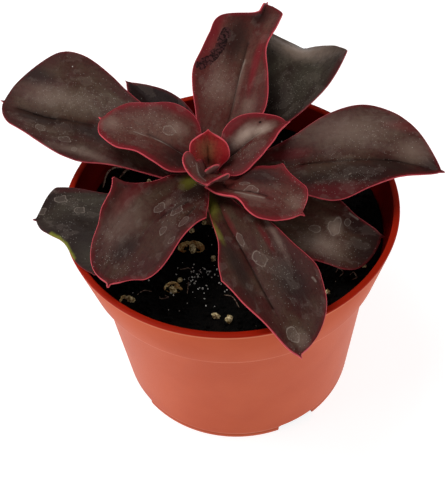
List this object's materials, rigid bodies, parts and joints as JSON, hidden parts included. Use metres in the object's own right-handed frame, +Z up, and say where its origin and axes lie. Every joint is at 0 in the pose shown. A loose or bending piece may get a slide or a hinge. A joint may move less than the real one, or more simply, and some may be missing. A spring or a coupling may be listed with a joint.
{
  "type": "potted echeveria",
  "caption": "Rosette succulent with long, waved dark red leaves on a short stem, growing in a round plastic nursery pot filled with peat.",
  "frame": {"origin": "on the surface the pot stands on, under the middle of the pot's round floor, at the centre of the resting face", "axes": "+Z up along the pot's axis; -Y towards the side that faces the viewer in the picture; +X to that viewer's right"},
  "size_m": [0.149, 0.1438, 0.1125],
  "materials": {
    "pot plastic": "terracotta-coloured moulded polypropylene with a soft sheen",
    "soil": "moist black peat with pale crumbs",
    "stem": "green-brown stem with leaf scars",
    "leaf": "waxy dark red-brown leaf with pink margins",
    "young leaf": "waxy bright red young leaf",
    "old leaf": "dull olive-brown old leaf"
  },
  "bodies": {
    "root": {"pot": "pot plastic", "soil": "soil", "stem": "stem", "leaf_left_long": "leaf", "leaf_right_long": "leaf", "leaf_left_upper": "leaf", "leaf_back_tall": "leaf", "leaf_back_right": "leaf", "leaf_front_long": "leaf", "leaf_front_left": "leaf", "leaf_left_old": "old leaf", "leaf_right_low": "leaf", "leaf_back_left_low": "leaf", "leaf_right_upper": "leaf", "leaf_right_front": "leaf", "leaf_heart_front": "young leaf", "leaf_heart_folded": "young leaf", "leaf_heart_cup": "young leaf"}
  },
  "joints": []
}
